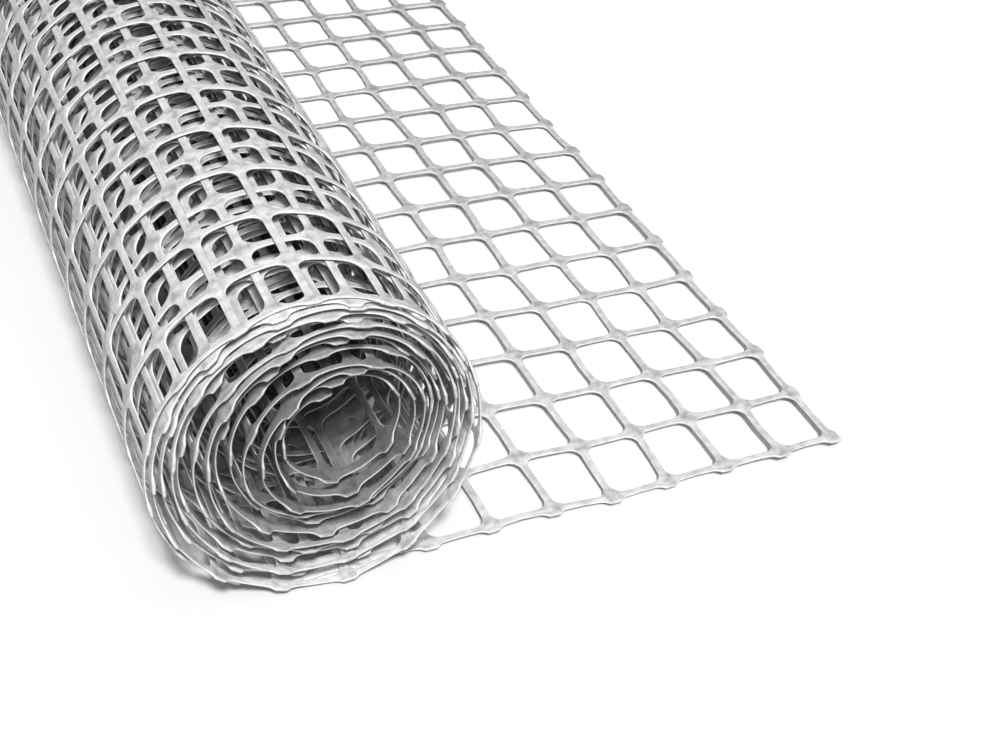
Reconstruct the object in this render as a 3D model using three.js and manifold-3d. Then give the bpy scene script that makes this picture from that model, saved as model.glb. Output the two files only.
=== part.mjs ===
// A roll of polypropylene reinforcing mesh, lying on a level floor with its free end rolled out flat.
// Millimetres. X runs along the flat stretch towards its free end, Y along the roll, and Z is up.
// The origin lies on the floor, under the middle of the whole.
import * as THREE from "three";
import { mergeVertices } from "three/addons/utils/BufferGeometryUtils.js";
import Module from "manifold-3d";

// The mesh itself
const cellLength = 33; // from rib to rib along the strip
const cellWidth = 39.7; // from rib to rib across the strip
const cellsAcross = 25;
const alongRibWidth = 3.8; // the ribs that run along the strip
const acrossRibWidth = 4.4; // the ribs that run across it
const cornerCut = 4.5; // where the ribs widen into a junction
const meshThickness = 2.5; // at the junctions
const lumpWidth = 8; // the junction lumps that stand out along the cut edges
const lumpReach = 3.8; // from an edge rib's middle to the tip of its lumps

// The flat stretch
const flatCells = 8; // whole cells clear of the roll
const firstRib = 22; // from the roll's lowest line to the first rib beyond it
const flatStart = 4; // from the same line to where the flat part begins, inside the roll

// The roll
const outerRadius = 78;
const boreRadius = 26;
const boreAside = 12; // the loose winding leaves its bore off the middle of the roll, towards the flat stretch
const boreAbove = 6; // and above the middle
const turns = 12;
const turnThickness = 2.2; // one turn of mesh as it shows on the ends
const gapDepth = 5; // how far the gaps between the turns go into the ends
const roundSides = 64;
const boreSides = 32;
const sidesPerTurn = 18; // of the gap between the turns

// Worked out from these
const acrossPitches = cellsAcross * cellWidth;
const rollLength = acrossPitches + alongRibWidth;
const freeRib = firstRib + flatCells * cellLength;
const originX = (freeRib + lumpReach - outerRadius) / 2;
const past = 1; // how far a cutting solid runs past what it cuts

const wasm = await Module();
wasm.setup();

// A closed geometry as a solid that can be joined and cut.
function solidOf(geometry) {
  const bare = geometry.clone();
  bare.deleteAttribute("normal");
  bare.deleteAttribute("uv");
  const merged = mergeVertices(bare, 1e-4);
  return new wasm.Manifold(
    new wasm.Mesh({
      numProp: 3,
      vertProperties: merged.attributes.position.array,
      triVerts: new Uint32Array(merged.index.array),
    }),
  );
}

// A joined or cut solid as a geometry again, with flat faces.
function geometryOf(solid) {
  const { vertProperties, triVerts } = solid.getMesh();
  const indexed = new THREE.BufferGeometry();
  indexed.setAttribute("position", new THREE.BufferAttribute(vertProperties, 3));
  indexed.setIndex(new THREE.BufferAttribute(triVerts, 1));
  const geometry = indexed.toNonIndexed();
  geometry.computeVertexNormals();
  return geometry;
}

// A round bar along Y, centred on (x, z).
function roundBar(radius, length, sides, x, z) {
  const profile = [
    new THREE.Vector2(0, -length / 2),
    new THREE.Vector2(radius, -length / 2),
    new THREE.Vector2(radius, length / 2),
    new THREE.Vector2(0, length / 2),
  ];
  return new THREE.LatheGeometry(profile, sides).translate(x, 0, z);
}

// A point on the turn of this radius. The inner turns are shifted with the bore, the outer ones less and less.
function pointOnTurn(radius, angle) {
  const shift = (outerRadius - radius) / (outerRadius - boreRadius);
  return new THREE.Vector2(
    boreAside * shift + radius * Math.cos(angle),
    outerRadius + boreAbove * shift + radius * Math.sin(angle),
  );
}

// The gap between the turns on one end: a band that winds out from the innermost turn to the outermost.
function gapBetweenTurns(endY, inward) {
  const pitch = (outerRadius - boreRadius - turnThickness) / turns;
  const gap = pitch - turnThickness;
  const sides = (turns - 1) * sidesPerTurn;
  const innerEdge = [];
  const outerEdge = [];
  for (let i = 0; i <= sides; i++) {
    const windings = i / sidesPerTurn;
    const angle = 2 * Math.PI * windings - Math.PI / 2;
    const radius = boreRadius + turnThickness + windings * pitch;
    innerEdge.push(pointOnTurn(radius, angle));
    outerEdge.push(pointOnTurn(radius + gap, angle));
  }
  const band = new THREE.Shape([...innerEdge, ...outerEdge.reverse()]);
  const depth = gapDepth + past;
  const cutter = new THREE.ExtrudeGeometry(band, { depth, bevelEnabled: false });
  cutter.rotateX(Math.PI / 2);
  return cutter.translate(0, inward > 0 ? endY + gapDepth : endY + past, 0);
}

// The wound part: a round bar with its bore, and the turns showing on both ends.
function woundPart() {
  const bore = roundBar(boreRadius, rollLength + 2 * past, boreSides, boreAside, outerRadius + boreAbove);
  return solidOf(roundBar(outerRadius, rollLength, roundSides, 0, outerRadius))
    .subtract(solidOf(bore))
    .subtract(solidOf(gapBetweenTurns(-rollLength / 2, 1)))
    .subtract(solidOf(gapBetweenTurns(rollLength / 2, -1)));
}

// One cell opening around (x, y), with its corners cut where the ribs widen into the junctions.
function cellOpening(x, y) {
  const halfX = (cellLength - acrossRibWidth) / 2;
  const halfY = (cellWidth - alongRibWidth) / 2;
  const corner = [
    [halfX, halfY - cornerCut],
    [halfX - cornerCut, halfY],
  ];
  const quarters = [
    [1, 1],
    [-1, 1],
    [-1, -1],
    [1, -1],
  ];
  return new THREE.Path(
    quarters.flatMap(([alongX, alongY]) => {
      const points = corner.map(([a, b]) => new THREE.Vector2(x + alongX * a, y + alongY * b));
      return alongX * alongY > 0 ? points : points.reverse();
    }),
  );
}

// The outline of the flat stretch, with a lump at the end of every rib that a cut edge crosses.
function flatOutline() {
  const sideY = acrossPitches / 2;
  const edgeY = sideY + alongRibWidth / 2;
  const lumpY = sideY + lumpReach;
  const freeX = freeRib + acrossRibWidth / 2;
  const lumpX = freeRib + lumpReach;
  const half = lumpWidth / 2;
  const ribsX = Array.from({ length: flatCells }, (_, i) => firstRib + i * cellLength);
  const ribsY = Array.from({ length: cellsAcross - 1 }, (_, i) => (i + 1) * cellWidth - sideY);
  const nearSide = ribsX.flatMap((x) => [
    [x - half, -edgeY],
    [x - half, -lumpY],
    [x + half, -lumpY],
    [x + half, -edgeY],
  ]);
  const freeEnd = ribsY.flatMap((y) => [
    [freeX, y - half],
    [lumpX, y - half],
    [lumpX, y + half],
    [freeX, y + half],
  ]);
  const nearCorner = [
    [freeRib - half, -edgeY],
    [freeRib - half, -lumpY],
    [lumpX, -lumpY],
    [lumpX, -sideY + half],
    [freeX, -sideY + half],
  ];
  const mirrored = (points) => points.map(([x, y]) => [x, -y]).reverse();
  const outline = [
    [flatStart, -edgeY],
    ...nearSide,
    ...nearCorner,
    ...freeEnd,
    ...mirrored(nearCorner),
    ...mirrored(nearSide),
    [flatStart, edgeY],
  ];
  return new THREE.Shape(outline.map(([x, y]) => new THREE.Vector2(x, y)));
}

// The flat part: bars both ways, fused where they cross, with a closed strip under the roll.
function flatPart() {
  const outline = flatOutline();
  for (let i = 0; i < flatCells; i++)
    for (let j = 0; j < cellsAcross; j++)
      outline.holes.push(
        cellOpening(firstRib + (i + 0.5) * cellLength, (j + 0.5) * cellWidth - acrossPitches / 2),
      );
  return solidOf(new THREE.ExtrudeGeometry(outline, { depth: meshThickness, bevelEnabled: false }));
}

const polypropylene = new THREE.MeshStandardMaterial({ color: 0xc6c9cc, roughness: 0.45, metalness: 0 });

const meshRoll = new THREE.Mesh(geometryOf(woundPart().add(flatPart())), polypropylene);
meshRoll.name = "mesh_roll";
meshRoll.position.x = -originX;

const roll = new THREE.Group();
roll.add(meshRoll);

export default roll;
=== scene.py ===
"""A roll of polypropylene reinforcing mesh with its free end rolled out on a pale studio floor."""

import math

import bpy
import numpy as np
from mathutils import Matrix, Vector


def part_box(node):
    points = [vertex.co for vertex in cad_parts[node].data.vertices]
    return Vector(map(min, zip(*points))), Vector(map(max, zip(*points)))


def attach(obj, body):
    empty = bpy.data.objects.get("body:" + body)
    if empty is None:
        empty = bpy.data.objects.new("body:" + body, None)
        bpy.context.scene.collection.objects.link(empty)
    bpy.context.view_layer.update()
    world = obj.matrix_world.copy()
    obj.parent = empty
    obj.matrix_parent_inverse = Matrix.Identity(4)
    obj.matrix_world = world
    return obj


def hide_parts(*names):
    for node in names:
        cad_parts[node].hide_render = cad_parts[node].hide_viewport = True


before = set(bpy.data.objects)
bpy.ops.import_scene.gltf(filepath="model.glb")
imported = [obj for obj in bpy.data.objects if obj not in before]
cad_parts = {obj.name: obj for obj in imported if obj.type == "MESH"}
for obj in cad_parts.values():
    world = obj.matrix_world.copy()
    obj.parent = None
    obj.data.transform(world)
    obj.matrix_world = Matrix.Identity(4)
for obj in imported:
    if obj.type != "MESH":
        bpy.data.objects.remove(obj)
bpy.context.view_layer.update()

# Metres throughout. The strip lies along X and is wound round the roll, which lies along Y.
# Its cells, its length on the floor and the place of the bore are those of the solid model.
CELL_LENGTH = 0.033
CELL_WIDTH = 0.0397
CELLS_ACROSS = 25
FLAT_LENGTH = 0.286  # from the free end's rib to the roll's lowest line
LUMP_REACH = 0.0038
BORE_RADIUS = 0.026
BORE_ASIDE, BORE_ABOVE = 0.012, 0.006
TURNS = 12

roll_low, roll_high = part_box("mesh_roll")
OUTER_RADIUS = (roll_high.z - roll_low.z) / 2
OUTER_TURN = 2 * math.pi * OUTER_RADIUS
ROLL_X = roll_low.x + OUTER_RADIUS
FREE_X = roll_high.x - LUMP_REACH
STRIP_HALF = CELLS_ACROSS * CELL_WIDTH / 2

# The ribs and junctions
ALONG_HALF = 0.0022  # half the width of a rib that runs along the strip, by its corners
ACROSS_HALF = 0.0022  # and of one that runs across it
WAIST = 0.9  # a rib's width midway, as a share
CORNER = 0.0052  # radius of a cell's corners
CORNER_MIDDLE = CORNER * (1 - math.sqrt(0.5))  # from a rib's side to the middle of its corner, both ways
PAD_HALF_THICKNESS = 0.0009
RIB_HALF_THICKNESS = 0.0006
WAIST_HALF_THICKNESS = 0.00045
PAD_FALL = 0.0007  # how far beyond a corner's middle the thick junction has fallen nearly to the rib
RIB_FALL = 0.0022  # and how far beyond it the rib has its own thickness
EDGE = 0.0004  # how far the faces stand in from a rib's outline
EDGE_BOW = 0.0005  # how far an edge rib bows in between its lumps
BENDS = 0.29, 0.39  # where a wound rib bends between its junction and its middle, as shares of a cell

# How the strip is wound
STEPS_PER_TURN = 240
INNER_END = 0.55  # how far the inner end runs past the last whole turn, as a share of a turn
HEIGHTENING = 1.015  # of the roll, which its own stiffness leaves a little taller than round
SIDEWAYS = 0.97, 1.04  # the width of the roll at its near end and its far end, as a share of round
SLACK = 0.0025  # how far the loose innermost turn stands into the bore
OVALNESS = 0.09  # of the innermost turn
OVAL_ANGLE = math.radians(50)
TIGHTNESS = 1.38  # of the outer turns against the inner ones: 1 spaces them evenly
SPREAD = 0.55  # how unevenly the turns are spaced, as a share of their spacing
SPACING_WAVES = (  # share, waves per radian, start at the near end, and how much later at the far end
    (0.45, 1.37, 0.6, 0.9),
    (0.33, 2.23, 2.4, -1.3),
    (0.22, 3.61, 4.1, 2.1),
)

# How the strip lies and slips
LIFT = 0.0028  # of the flat stretch off the floor, on average
LIFT_OVER = 0.06  # the lift falls off this near to the roll's lowest line
SLIP = 0.012  # of the wound turns along the roll, at most, between its ends
SLIP_OVER = 0.15  # of the strip, over which the slip grows where the roll begins
SLIP_FROM_END = 0.025  # how far from the ends of the roll it grows
SLIP_AT_END = 0.004  # of all turns but the outermost, at the ends too
SHIFT = 0.008  # of the outermost turn towards the near end, at most
SHIFT_TURN, SHIFT_OVER = 0.9, 0.25  # where that is, and over how much of a turn, in turns

PIECES = 6  # that the strip is split into, the flat stretch being one of them
ALONG, ACROSS, BACK, BACKWARDS = range(4)  # the four arms of a junction: along the strip, across it, and back
RING = 6  # points round a rib


# The path of the strip

def uneven(angle, end):
    """How far off the spacing is at this angle, from -1 to 1, at the near end (0) or the far end (1)."""
    return sum(
        share * np.sin(rate * angle + start + later * end)
        for share, rate, start, later in SPACING_WAVES
    )


def winding(end):
    """Places (x, z) of the strip's middle along the wound part, from the roll's lowest line inwards."""
    turn = STEPS_PER_TURN
    angle = np.arange(int((TURNS + INNER_END) * turn) + 1) * 2 * math.pi / turn
    inward = angle / angle[-1]
    outer = OUTER_RADIUS - PAD_HALF_THICKNESS
    inner = BORE_RADIUS - SLACK
    radius = outer - (outer - inner) * inward**TIGHTNESS
    settled = np.clip(angle / (2 * math.pi) - 1, 0, 1)
    steps = (radius[:-turn] - radius[turn:]) * (1 + SPREAD * (settled * uneven(angle, end))[turn:])
    for i, step in enumerate(steps):
        radius[i + turn] = radius[i] - step
    radius *= 1 + OVALNESS * inward**2 * np.cos(2 * (angle - OVAL_ANGLE))
    x = ROLL_X + BORE_ASIDE * inward - radius * np.sin(angle) * SIDEWAYS[end]
    z = OUTER_RADIUS + BORE_ABOVE * inward - radius * np.cos(angle)
    return np.stack([x, z * HEIGHTENING], axis=1)


class Path:
    """The whole strip's route seen from its end: flat from the free end to the roll, then wound."""

    def __init__(self):
        before = CELL_LENGTH
        flat = np.array([[FREE_X + before, PAD_HALF_THICKNESS]])
        self.sides = [np.concatenate([flat, winding(end)]) for end in (0, 1)]
        middle = (self.sides[0] + self.sides[1]) / 2
        steps = np.diff(middle, axis=0)
        lengths = np.hypot(*steps.T)
        self.distance = np.concatenate([[0], np.cumsum(lengths)]) - before
        heading = steps / lengths[:, None]
        self.heading = np.concatenate([heading[:1], (heading[:-1] + heading[1:]) / 2, heading[-1:]])
        self.heading[1] = heading[0]
        self.length = self.distance[-1]

    def at(self, distance, share):
        """Place (x, z) and outward direction at this distance, this share of the way to the far end."""
        near, far = (
            np.stack([np.interp(distance, self.distance, side[:, k]) for k in (0, 1)], axis=1)
            for side in self.sides
        )
        heading = np.stack([np.interp(distance, self.distance, self.heading[:, k]) for k in (0, 1)], axis=1)
        heading /= np.hypot(*heading.T)[:, None]
        place = near + (far - near) * share[:, None]
        return place, np.stack([-heading[:, 1], heading[:, 0]], axis=1)


path = Path()
ROWS = int(path.length / CELL_LENGTH) + 1  # of junctions, from the free end to the innermost


def lay(points):
    """Turns points (along the strip, across it, out of its outer face) into places in the scene."""
    s, w, h = points.T
    place, outward = path.at(s, w / (2 * STRIP_HALF) + 0.5)
    flat = np.clip((FLAT_LENGTH - s) / LIFT_OVER, 0, 1)
    lift = LIFT * flat * (1 + 0.5 * np.sin(19 * w + 11 * s + 1.0) * np.sin(31 * s - 7 * w + 0.4))
    sway_along = flat * (0.0006 * np.sin(57 * w + 23 * s) + 0.0004 * np.sin(131 * w - 61 * s))
    sway_across = 0.0007 * np.sin(71 * s + 9 * w)
    x = place[:, 0] + outward[:, 0] * h + sway_along
    y = w + slipped(s, w) - bowed(s, w) + sway_across
    z = place[:, 1] + outward[:, 1] * h + lift
    return np.stack([x, y, z], axis=1)


def slipped(s, w):
    """How far a wound turn has slipped along the roll: a little at the ends, more between them."""
    wound = np.maximum(s - FLAT_LENGTH, 0)
    turns = wound / OUTER_TURN
    from_end = 1 - np.exp(-(STRIP_HALF - np.abs(w)) / SLIP_FROM_END)
    at_end = SLIP_AT_END * np.sin(5.3 * s + 2.0) * np.clip(turns - 1, 0, 1)
    shifted = SHIFT * np.exp(-((turns - SHIFT_TURN) / SHIFT_OVER) ** 2)
    return at_end - shifted - SLIP * from_end * np.sin(5.7 * wound) * np.clip(wound / SLIP_OVER, 0, 1)


def bowed(s, w):
    """How far an edge rib bows in between its lumps."""
    by_edge = np.clip(1 - (STRIP_HALF - np.abs(w)) / (CELL_WIDTH / 2), 0, 1)
    return np.sign(w) * EDGE_BOW * by_edge * np.sin(math.pi * s / CELL_LENGTH) ** 2


# One junction and its arms

def half_width(distance, own_half, crossing_half):
    """Half a rib's width at this distance from its junction's middle, with the cell's rounded corner."""
    into_corner = max(0.0, crossing_half + CORNER - distance)
    waisted = own_half * (WAIST + (1 - WAIST) * min(1, into_corner / CORNER + 0.5))
    return waisted + CORNER - math.sqrt(CORNER**2 - into_corner**2)


def ring(distance, half, half_thickness, edge=EDGE):
    """The points around a rib: its outline at mid thickness, and the edges of its two faces."""
    return [
        (distance, half, 0),
        (distance, half - edge, half_thickness),
        (distance, edge - half, half_thickness),
        (distance, -half, 0),
        (distance, edge - half, -half_thickness),
        (distance, half - edge, -half_thickness),
    ]


def pad_ring(own_half, crossing_half):
    """The points where an arm leaves its junction: the corners of the outline and of the raised pads."""
    reach = crossing_half + CORNER_MIDDLE
    points = ring(reach, own_half + CORNER_MIDDLE, PAD_HALF_THICKNESS)
    return [(u - EDGE if h else u, v, h) for u, v, h in points]


def rib_arm(own_half, crossing_half, pitch, wound):
    """Rings of half a rib, from the junction to midway, with two more where it bends round the roll."""
    reach = crossing_half + CORNER_MIDDLE
    rings = [pad_ring(own_half, crossing_half)]
    for distance, half_thickness in (
        (reach + PAD_FALL, RIB_HALF_THICKNESS * 1.15),
        (reach + RIB_FALL, RIB_HALF_THICKNESS),
        (crossing_half + CORNER, RIB_HALF_THICKNESS * 0.9),
    ):
        rings.append(ring(distance, half_width(distance, own_half, crossing_half), half_thickness))
    for share in (*(BENDS if wound else ()), 0.5):
        rings.append(ring(pitch * share, own_half * WAIST, WAIST_HALF_THICKNESS))
    return rings


def lump_arm(own_half, crossing_half):
    """Rings of the short lump that stands out where a cut edge crosses a rib."""
    reach = crossing_half + CORNER_MIDDLE
    half = own_half + CORNER_MIDDLE
    further = 0.0002
    return [
        pad_ring(own_half, crossing_half),
        ring(reach + further, half * 0.9, PAD_HALF_THICKNESS * 0.85),
        ring(LUMP_REACH + further, half * 0.6, PAD_HALF_THICKNESS * 0.5, EDGE / 2),
    ]


def turned(points, arm):
    """An arm's points turned to run along, across, back or back across the strip."""
    u, v, h = np.array(points, float).reshape(-1, 3).T
    along, across = [(u, v), (-v, u), (-u, -v), (v, -u)][arm]
    return np.stack([along, across, h], axis=1)


def tube_faces(rings, capped):
    """Quads that join rings of points in turn, and close the last one if it is capped."""
    faces = [
        (RING * k + m, RING * k + (m + 1) % RING, RING * (k + 1) + (m + 1) % RING, RING * (k + 1) + m)
        for k in range(rings - 1)
        for m in range(RING)
    ]
    last = RING * (rings - 1)
    cap = [(last, last + 1, last + 2, last + 3), (last + 3, last + 4, last + 5, last)]
    return faces + cap if capped else faces


class Net:
    """Collects copies of small shapes, each set at many junctions, and welds what meets."""

    def __init__(self):
        self.points, self.faces, self.marks, self.count = [], [], [], 0

    def add(self, points, faces, marks, rows, columns):
        """Sets the shape at each (row, column). Each point's marks are (junction, crosswise, rim), 0 to 1."""
        if not len(rows):
            return
        along, across = rows * CELL_LENGTH, columns * CELL_WIDTH - STRIP_HALF
        offsets = np.stack([along, across, np.zeros(len(rows))], axis=1)
        self.points.append((points[None] + offsets[:, None]).reshape(-1, 3))
        starts = self.count + np.arange(len(rows)) * len(points)
        self.faces.append((np.array(faces)[None] + starts[:, None, None]).reshape(-1, 4))
        self.marks.append(np.tile(marks, (len(rows), 1)))
        self.count += len(rows) * len(points)

    def welded(self):
        """Points, faces and marks, with the points that meet made one."""
        points = np.concatenate(self.points)
        keys = np.round(points * 1e7).astype(np.int64)
        _, first, where = np.unique(keys, axis=0, return_index=True, return_inverse=True)
        return points[first], where.reshape(-1)[np.concatenate(self.faces)], np.concatenate(self.marks)[first]


PAD_FACES = [(0, 1, 2, 3), (7, 6, 5, 4)]


def pad_points():
    """The corners of a junction's two raised pads."""
    u = ACROSS_HALF + CORNER_MIDDLE - EDGE
    v = ALONG_HALF + CORNER_MIDDLE - EDGE
    corners = (u, v), (-u, v), (-u, -v), (u, -v)
    return np.array([(*corner, h) for h in (PAD_HALF_THICKNESS, -PAD_HALF_THICKNESS) for corner in corners])


def stretch(first_row, last_row):
    """The strip from one row of junctions to another, closed midway along the ribs that run on."""
    net = Net()
    rows, columns = np.arange(first_row, last_row + 1), np.arange(CELLS_ACROSS + 1)
    row, column = (a.ravel() for a in np.meshgrid(rows, columns, indexing="ij"))
    net.add(pad_points(), PAD_FACES, [(1, 0.5, 0)] * 8, row, column)
    at_edge = {ALONG: row == ROWS - 1, ACROSS: column == CELLS_ACROSS, BACK: row == 0, BACKWARDS: column == 0}
    at_cut = {ALONG: row == last_row, BACK: row == first_row}
    for arm, edge in at_edge.items():
        crosswise = arm in (ACROSS, BACKWARDS)
        halves = (ACROSS_HALF, ALONG_HALF) if crosswise else (ALONG_HALF, ACROSS_HALF)
        wound = last_row * CELL_LENGTH > FLAT_LENGTH and not crosswise
        rib = rib_arm(*halves, CELL_WIDTH if crosswise else CELL_LENGTH, wound)
        lump = lump_arm(*halves)
        cut = at_cut.get(arm, np.zeros(len(row), bool)) & ~edge
        for rings, capped, here in ((lump, True, edge), (rib, True, cut), (rib, False, ~edge & ~cut)):
            marks = [
                (max(0.0, 1 - 0.8 * k), float(crosswise) if k else 0.5, float(m in (0, 3)))
                for k in range(len(rings))
                for m in range(RING)
            ]
            net.add(turned(rings, arm), tube_faces(len(rings), capped), marks, row[here], column[here])
    return net.welded()


def mesh_piece(name, first_row, last_row, material):
    """A stretch of the strip as a piece that rides on the body and stands for the solid roll."""
    points, faces, marks = stretch(first_row, last_row)
    mesh = bpy.data.meshes.new(name)
    mesh.vertices.add(len(points))
    mesh.vertices.foreach_set("co", lay(points).astype(np.float32).ravel())
    mesh.loops.add(4 * len(faces))
    mesh.loops.foreach_set("vertex_index", faces.astype(np.int32).ravel())
    mesh.polygons.add(len(faces))
    mesh.polygons.foreach_set("loop_start", np.arange(0, 4 * len(faces), 4, dtype=np.int32))
    mesh.polygons.foreach_set("use_smooth", np.ones(len(faces), bool))
    for mark, values in zip(("junction", "crosswise", "rim"), marks.T):
        mesh.attributes.new(mark, "FLOAT", "POINT").data.foreach_set("value", values.astype(np.float32))
    strip = mesh.attributes.new("strip", "FLOAT_VECTOR", "POINT")
    strip.data.foreach_set("vector", points.astype(np.float32).ravel())
    mesh.update(calc_edges=True)
    mesh.validate()
    mesh.materials.append(material)
    piece = bpy.data.objects.new(name, mesh)
    bpy.context.collection.objects.link(piece)
    large_faces_weigh = 70
    piece.modifiers.new("flat_faces", "WEIGHTED_NORMAL").weight = large_faces_weigh
    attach(piece, "root")
    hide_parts("mesh_roll")
    return piece


def add_strip():
    """The strip in as many stretches of like length as keep each piece light."""
    material = polypropylene()
    flat_rows = int(FLAT_LENGTH / CELL_LENGTH) + 1
    pieces = [mesh_piece("flat_stretch", 0, flat_rows - 1, material)]
    starts = np.linspace(flat_rows, ROWS, PIECES).astype(int)
    for number, (first, past_last) in enumerate(zip(starts, starts[1:]), 1):
        pieces.append(mesh_piece(f"wound_stretch_{number}", int(first), int(past_last) - 1, material))
    return pieces


# Materials

class Socket:
    """A shader value that is added, multiplied and so on as a number is."""

    def __init__(self, tree, socket):
        self.tree, self.socket = tree, socket

    def math(self, operation, *others, swapped=False):
        values = [self, *others]
        return self.tree.node("ShaderNodeMath", {"operation": operation}, values[::-1] if swapped else values)

    def __add__(self, other): return self.math("ADD", other)
    def __radd__(self, other): return self.math("ADD", other)
    def __sub__(self, other): return self.math("SUBTRACT", other)
    def __rsub__(self, other): return self.math("SUBTRACT", other, swapped=True)
    def __mul__(self, other): return self.math("MULTIPLY", other)
    def __rmul__(self, other): return self.math("MULTIPLY", other)


class Shader:
    """A material whose nodes are added one call at a time."""

    def __init__(self, name):
        self.material = bpy.data.materials.new(name)
        self.material.use_nodes = True
        self.tree = self.material.node_tree
        self.surface = self.tree.nodes["Principled BSDF"]

    def node(self, kind, settings=None, inputs=(), output=0):
        """Adds a node, sets its settings and then its sockets, by place or by name, and gives an output."""
        made = self.tree.nodes.new(kind)
        for name, value in (settings or {}).items():
            setattr(made, name, value)
        for key, value in inputs.items() if isinstance(inputs, dict) else enumerate(inputs):
            self.put(made.inputs[key], value)
        return Socket(self, made.outputs[output])

    def put(self, socket, value):
        """Links a shader value to the socket, or sets the socket to a plain one."""
        if isinstance(value, Socket):
            self.tree.links.new(value.socket, socket)
        else:
            socket.default_value = value

    def set(self, **sockets):
        """Sets sockets of the surface, such as Base_Color."""
        for name, value in sockets.items():
            self.put(self.surface.inputs[name.replace("_", " ")], value)

    def attribute(self, name, output):
        return self.node("ShaderNodeAttribute", {"attribute_name": name}, output=output)

    def scaled(self, vector, scale):
        """A vector or colour times another, or times a value."""
        return self.node("ShaderNodeVectorMath", {"operation": "MULTIPLY"}, [vector, scale])

    def noise(self, vector, scale, detail=3.0):
        return self.node("ShaderNodeTexNoise", None, {"Vector": vector, "Scale": scale, "Detail": detail})

    def stretched(self, value, low, high):
        """The value from 0 at low to 1 at high."""
        return self.node("ShaderNodeMapRange", None, [value, low, high])

    def mixed(self, share, first, second):
        """A colour that goes from the first to the second."""
        return self.node("ShaderNodeMix", {"data_type": "RGBA"}, {0: share, 6: first, 7: second}, output=2)


DRAWN_DARK, DRAWN_LIGHT = (0.27, 0.275, 0.282, 1), (0.60, 0.605, 0.612, 1)  # the drawn ribs
THICK_DARK, THICK_LIGHT = (0.17, 0.177, 0.186, 1), (0.52, 0.527, 0.537, 1)  # the junctions
# painted highlight: the lighter grey that the ribs' side edges are mixed towards, as if they caught the light
RIM_PAINTED_HIGHLIGHT = (0.68, 0.685, 0.695, 1)
PAINTED_SHADE_FROM, PAINTED_SHADE_TO = 1.4, 4.3  # along the strip, where painted shade darkens the inner turns
PAINTED_SHADE = 0.74  # how much darker the painted shade makes the innermost turn


def polypropylene():
    """Light grey drawn plastic: streaked along the ribs, duller on junctions, painted shade on inner turns,
    painted highlight on rims.
    """
    shader = Shader("polypropylene")
    strip = shader.attribute("strip", "Vector")
    junction = shader.attribute("junction", "Fac")
    crosswise = shader.attribute("crosswise", "Fac")
    rim = shader.attribute("rim", "Fac")
    along_streaks = shader.noise(shader.scaled(strip, (60, 900, 900)), 1.0)
    across_streaks = shader.noise(shader.scaled(strip, (900, 60, 900)), 1.0)
    streaks = shader.stretched(along_streaks + (across_streaks - along_streaks) * crosswise, 0.3, 0.7)
    mottle = shader.stretched(shader.noise(strip, 190.0, 4.0), 0.34, 0.66)
    grain = shader.stretched(shader.noise(strip, 1400.0, 2.0), 0.3, 0.7)
    drawn = shader.mixed(streaks * 0.4 + mottle * 0.4 + grain * 0.2, DRAWN_DARK, DRAWN_LIGHT)
    thick = shader.mixed(mottle * 0.7 + grain * 0.3, THICK_DARK, THICK_LIGHT)
    light = shader.mixed(junction * 0.8, drawn, thick)
    length = shader.node("ShaderNodeSeparateXYZ", None, [strip])
    # Painted shade: the colour darkens along the strip towards the inner turns, standing for the shade deep
    # inside the roll.
    faces = shader.scaled(light, 1 - PAINTED_SHADE * shader.stretched(length, PAINTED_SHADE_FROM, PAINTED_SHADE_TO))
    relief = {"Strength": 0.5, "Distance": 0.0003, "Height": streaks + grain * 0.8}
    shader.set(
        # Painted highlight: the rims, which are the ribs' side edges, are mixed towards a lighter grey.
        Base_Color=shader.mixed(rim * 0.6, faces, RIM_PAINTED_HIGHLIGHT),
        Roughness=0.34 + 0.16 * mottle + 0.08 * junction,
        Specular_IOR_Level=0.45,
        Normal=shader.node("ShaderNodeBump", None, relief),
    )
    return shader.material


def studio_floor():
    """Plain white paper."""
    shader = Shader("studio_floor")
    shader.set(Base_Color=(0.93, 0.93, 0.93, 1), Roughness=0.9, Specular_IOR_Level=0.1)
    return shader.material


# The studio

def add_floor():
    half = 6.0
    corners = [(-half, -half, 0), (half, -half, 0), (half, half, 0), (-half, half, 0)]
    mesh = bpy.data.meshes.new("studio_floor")
    mesh.from_pydata(corners, [], [(0, 1, 2, 3)])
    mesh.materials.append(studio_floor())
    floor = bpy.data.objects.new("studio_floor", mesh)
    bpy.context.collection.objects.link(floor)
    return floor


def group(name, things):
    """A collection that lamps can be told to light."""
    made = bpy.data.collections.new(name)
    for thing in things:
        made.objects.link(thing)
    return made


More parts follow.
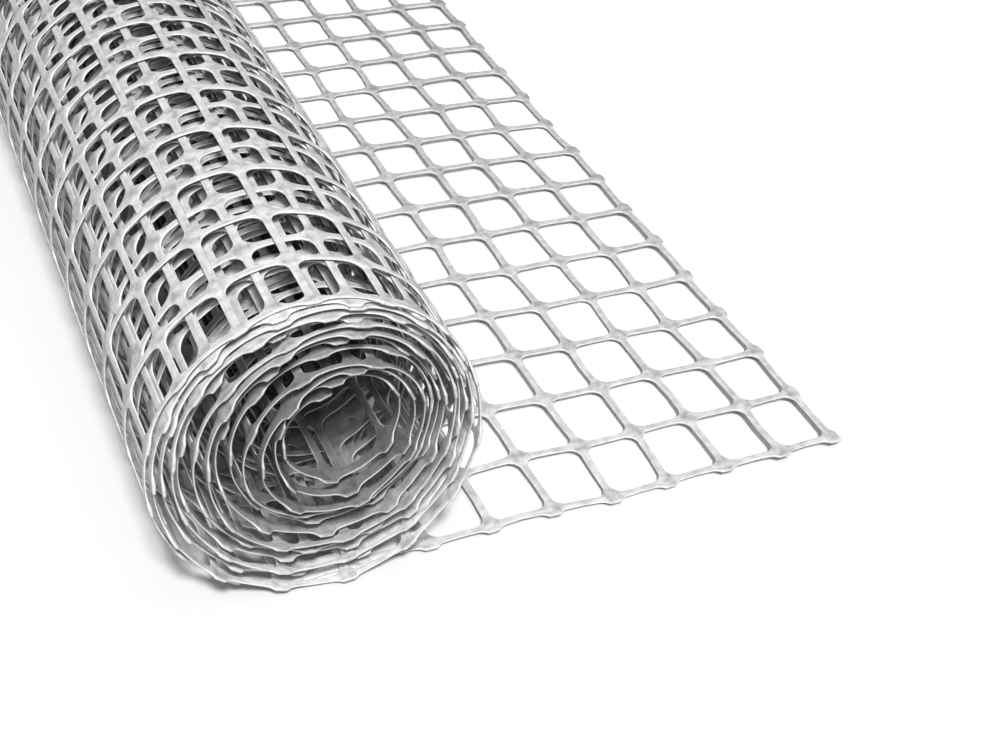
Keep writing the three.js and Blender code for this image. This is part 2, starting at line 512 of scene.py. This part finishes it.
def add_light(name, place, towards, size, power, lit):
    """A round lamp that lights one group of things and is shaded by all."""
    data = bpy.data.lights.new(name, "AREA")
    data.shape = "DISK"
    data.size, data.energy = size, power
    light = bpy.data.objects.new(name, data)
    light.location = place
    light.rotation_euler = (Vector(towards) - Vector(place)).to_track_quat("-Z", "Y").to_euler()
    light.light_linking.receiver_collection = lit
    bpy.context.collection.objects.link(light)


def add_lights(pieces, floor):
    """Lamps for the strip, and others for the floor, which stays white up to a narrow shadow by the roll."""
    world = bpy.data.worlds.new("studio")
    world.use_nodes = True
    sky = world.node_tree.nodes["Background"]
    sky.inputs["Color"].default_value = (1, 1, 1, 1)
    sky.inputs["Strength"].default_value = 0.045
    bpy.context.scene.world = world
    strip, paper = group("strip", pieces), group("paper", [floor])
    add_light("key", (-0.3, -1.6, 2.1), (-0.05, -0.4, 0), 0.6, 98, strip)
    add_light("front", (-0.7, -2.0, 1.7), (-0.1, -0.5, 0.07), 0.6, 23, strip)
    add_light("floor_front", (-2.5, -11.4, 16.6), (-0.1, -0.5, 0), 3.0, 3800, paper)
    add_light("floor_wash", (0.1, -0.1, 1.9), (0.1, -0.1, 0), 4.5, 26, paper)


def add_camera():
    """The camera of the photo: fitted to the junctions of the flat stretch and the near rim of the roll."""
    eye = Vector((-0.2603, -0.9634, 0.5080))
    aim = Vector((0.0361, -0.3856, 0.0))
    lens, sensor_width, roll = 54.1, 36, math.radians(5.37)
    forward = (aim - eye).normalized()
    right = forward.cross(Vector((0, 0, 1))).normalized()
    up = right.cross(forward)
    turn = Matrix.Rotation(roll, 3, -forward)
    right, up = turn @ right, turn @ up
    data = bpy.data.cameras.new("camera")
    data.lens, data.sensor_width = lens, sensor_width
    data.clip_start = 0.01
    camera = bpy.data.objects.new("camera", data)
    camera.matrix_world = Matrix.Translation(eye) @ Matrix((right, up, -forward)).transposed().to_4x4()
    bpy.context.collection.objects.link(camera)
    bpy.context.scene.camera = camera


add_lights(add_strip(), add_floor())
add_camera()
bpy.context.scene.view_settings.view_transform = "Standard"
